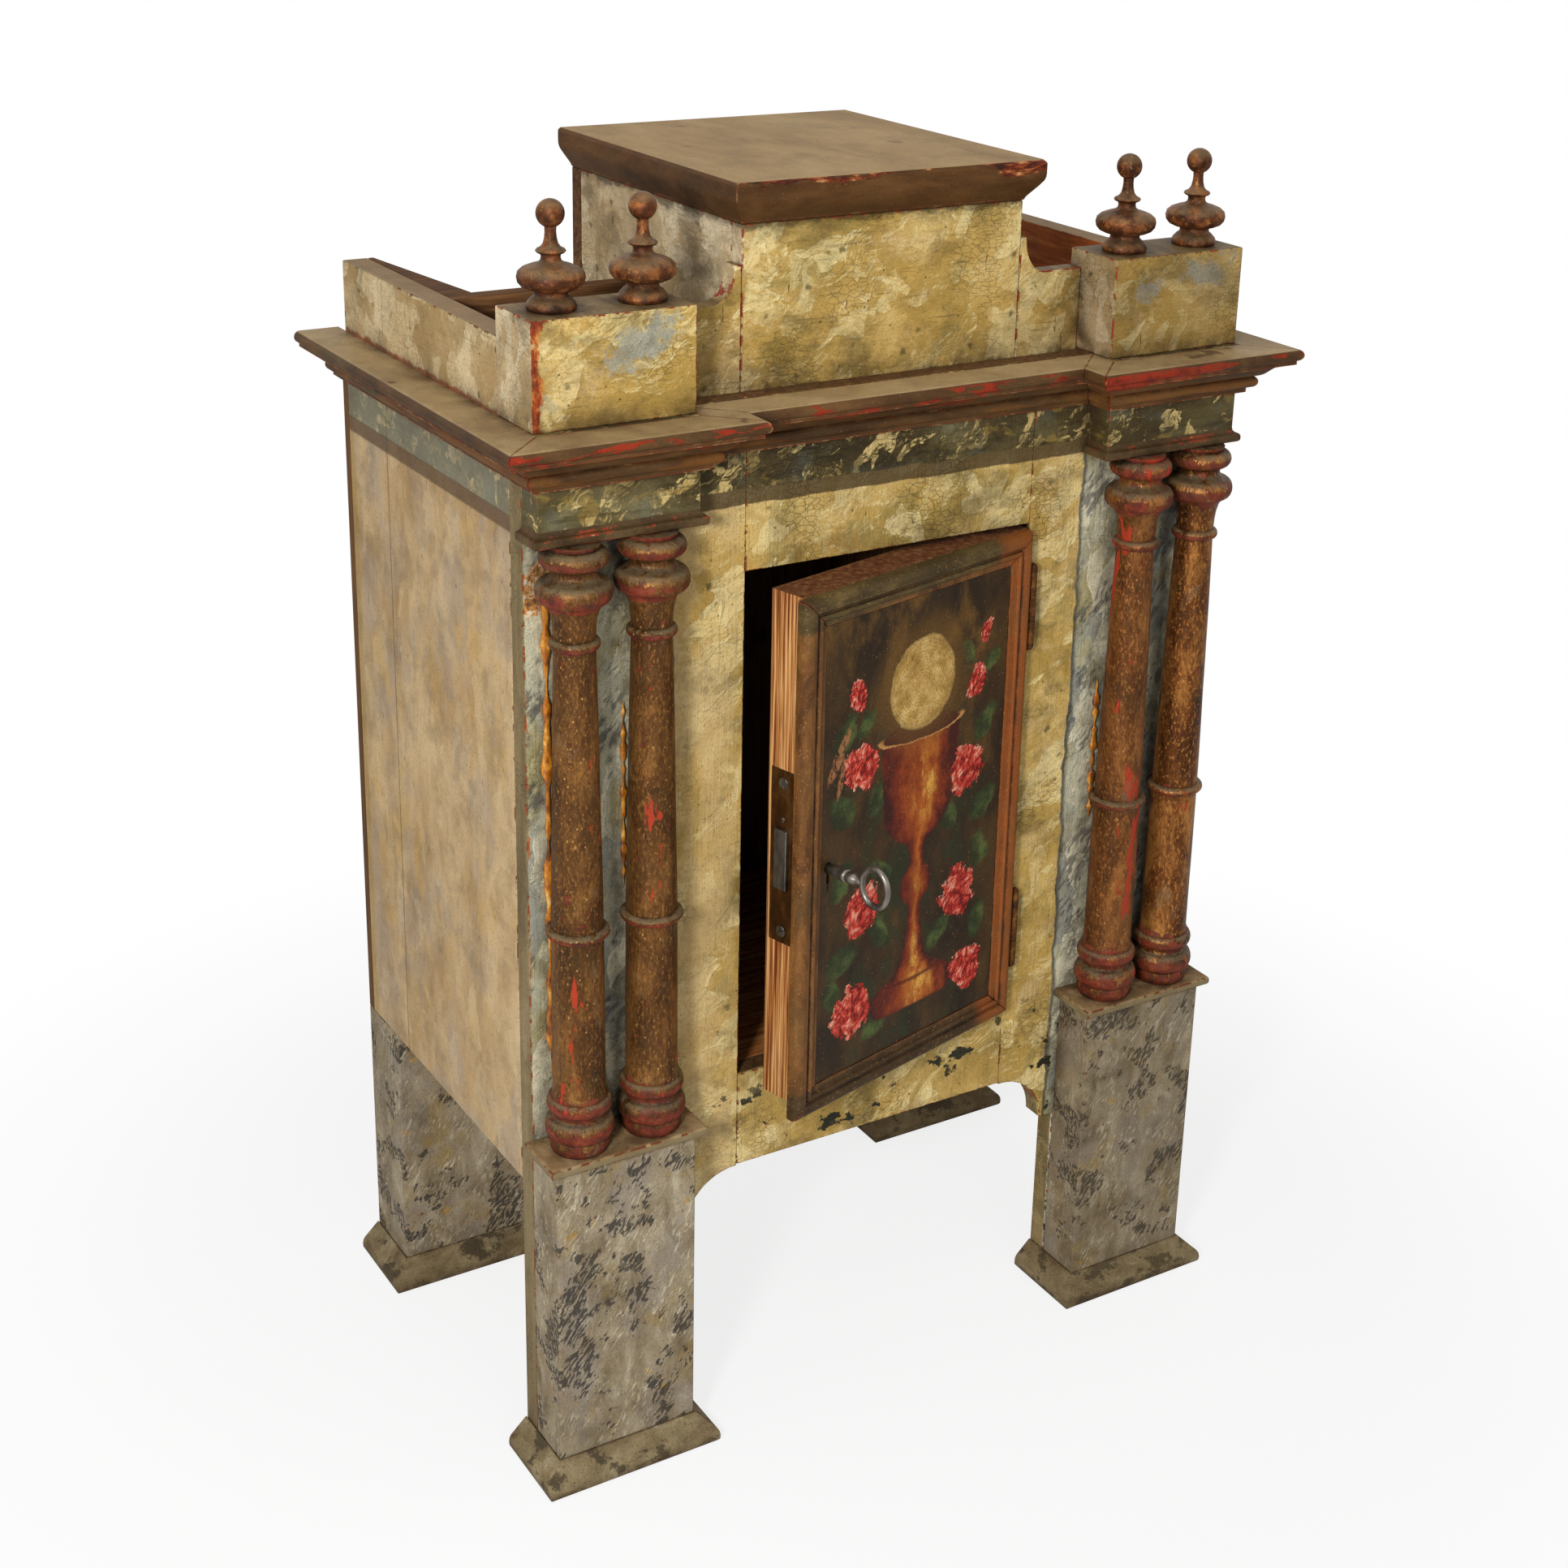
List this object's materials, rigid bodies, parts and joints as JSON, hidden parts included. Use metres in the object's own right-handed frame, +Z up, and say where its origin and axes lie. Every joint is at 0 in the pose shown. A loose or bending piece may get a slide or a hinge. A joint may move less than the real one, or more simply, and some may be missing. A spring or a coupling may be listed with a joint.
{
  "type": "altar tabernacle",
  "caption": "Painted wooden altar tabernacle on four legs, with paired columns, a moulded cornice, a stepped attic with turned finials, and a hinged, lockable door.",
  "frame": {"origin": "on the floor plane, below the middle of the overall width and of the overall depth (from the key's bow at the front to the cornice's back ends)", "axes": "+Z up, +X to the viewer's right when facing the door, +Y from the front to the back"},
  "size_m": [0.526, 0.3524, 0.7615],
  "materials": {
    "marbled_cream": "cream and ochre marbled paint on wood, brushed and crazed, satin",
    "side_cream": "tan and cream streaked paint on wood, matt",
    "sponged_grey": "grey-beige paint on wood sponged with slate blotches, matt",
    "foot_ochre": "olive ochre paint on wood, worn at the edges, matt",
    "brown_moulding": "dusty brown painted moulding with red worn edges, satin",
    "blue_green_frieze": "blue-green marbled paint on wood, satin",
    "worn_gilding": "dull bronzed gilding on turned wood, worn to red ground",
    "finial_bronze": "dusty red bronze paint on turned wood",
    "bare_wood": "bare aged brown softwood",
    "door_core": "striped edge grain of a solid wooden leaf with worn red-brown paint",
    "door_painting": "dark olive-brown oil painting on wood, satin",
    "door_frame": "dark golden-brown painted moulding, satin",
    "old_brass": "dark tarnished brass",
    "old_steel": "aged grey steel",
    "rusty_hinge": "rust-brown painted steel"
  },
  "bodies": {
    "carcass": {"side_panel_left": "side_cream", "front_stile_left": "marbled_cream", "back_leg_left": "sponged_grey", "pedestal_left": "sponged_grey", "pedestal_plate_left": "foot_ochre", "front_foot_left": "foot_ochre", "back_foot_left": "foot_ochre", "column_left_outer": "worn_gilding", "column_left_inner": "worn_gilding", "frieze_block_left": "blue_green_frieze", "cornice_side_left": "brown_moulding", "cornice_front_left": "brown_moulding", "cornice_return_left": "brown_moulding", "attic_block_left": "marbled_cream", "attic_wing_left": "marbled_cream", "attic_side_board_left": "marbled_cream", "finial_left_outer": "finial_bronze", "finial_left_inner": "finial_bronze", "side_panel_right": "side_cream", "front_stile_right": "marbled_cream", "back_leg_right": "sponged_grey", "pedestal_right": "sponged_grey", "pedestal_plate_right": "foot_ochre", "front_foot_right": "foot_ochre", "back_foot_right": "foot_ochre", "column_right_outer": "worn_gilding", "column_right_inner": "worn_gilding", "frieze_block_right": "blue_green_frieze", "cornice_side_right": "brown_moulding", "cornice_front_right": "brown_moulding", "cornice_return_right": "brown_moulding", "attic_block_right": "marbled_cream", "attic_wing_right": "marbled_cream", "attic_side_board_right": "marbled_cream", "finial_right_outer": "finial_bronze", "finial_right_inner": "finial_bronze", "top_rail": "marbled_cream", "bottom_rail": "marbled_cream", "back_board": "bare_wood", "floor_board": "bare_wood", "roof_board": "bare_wood", "cornice_middle": "brown_moulding", "attic_front_board": "marbled_cream", "attic_back_board": "bare_wood", "attic_cap": "brown_moulding", "attic_cross_board": "bare_wood", "attic_inner_rail": "bare_wood", "hinge_frame_leaf_lower": "rusty_hinge", "hinge_frame_leaf_upper": "rusty_hinge"},
    "door": {"door_slab": "door_core", "door_panel": "door_painting", "door_moulding_bottom": "door_frame", "door_moulding_top": "door_frame", "door_moulding_lock_side": "door_frame", "door_moulding_hinge_side": "door_frame", "hinge_door_leaf_lower": "rusty_hinge", "hinge_door_leaf_upper": "rusty_hinge", "lock_case": "old_brass"},
    "bolt": {"lock_bolt": "old_steel"},
    "key": {"key": "old_steel"}
  },
  "joints": [
    {"name": "door_hinge", "type": "hinge", "parent": "carcass", "child": "door", "pos_m": [0.099, -0.085, 0.385], "axis": [0, 0, 1], "range_deg": [-14.5, 105.5]},
    {"name": "key_turn", "type": "hinge", "parent": "door", "child": "key", "pos_m": [-0.07047, -0.12366, 0.376], "axis": [-0.2504, 0.9681, 0], "range_deg": [-90, 270]},
    {"name": "bolt_throw", "type": "slide", "parent": "door", "child": "bolt", "axis": [-0.9681, -0.2504, 0], "range_m": [-0.0022, 0.0065]}
  ],
  "couplings": [
    {"joint": "bolt_throw", "follows": "key_turn", "m_per_rad": 0.0012}
  ]
}
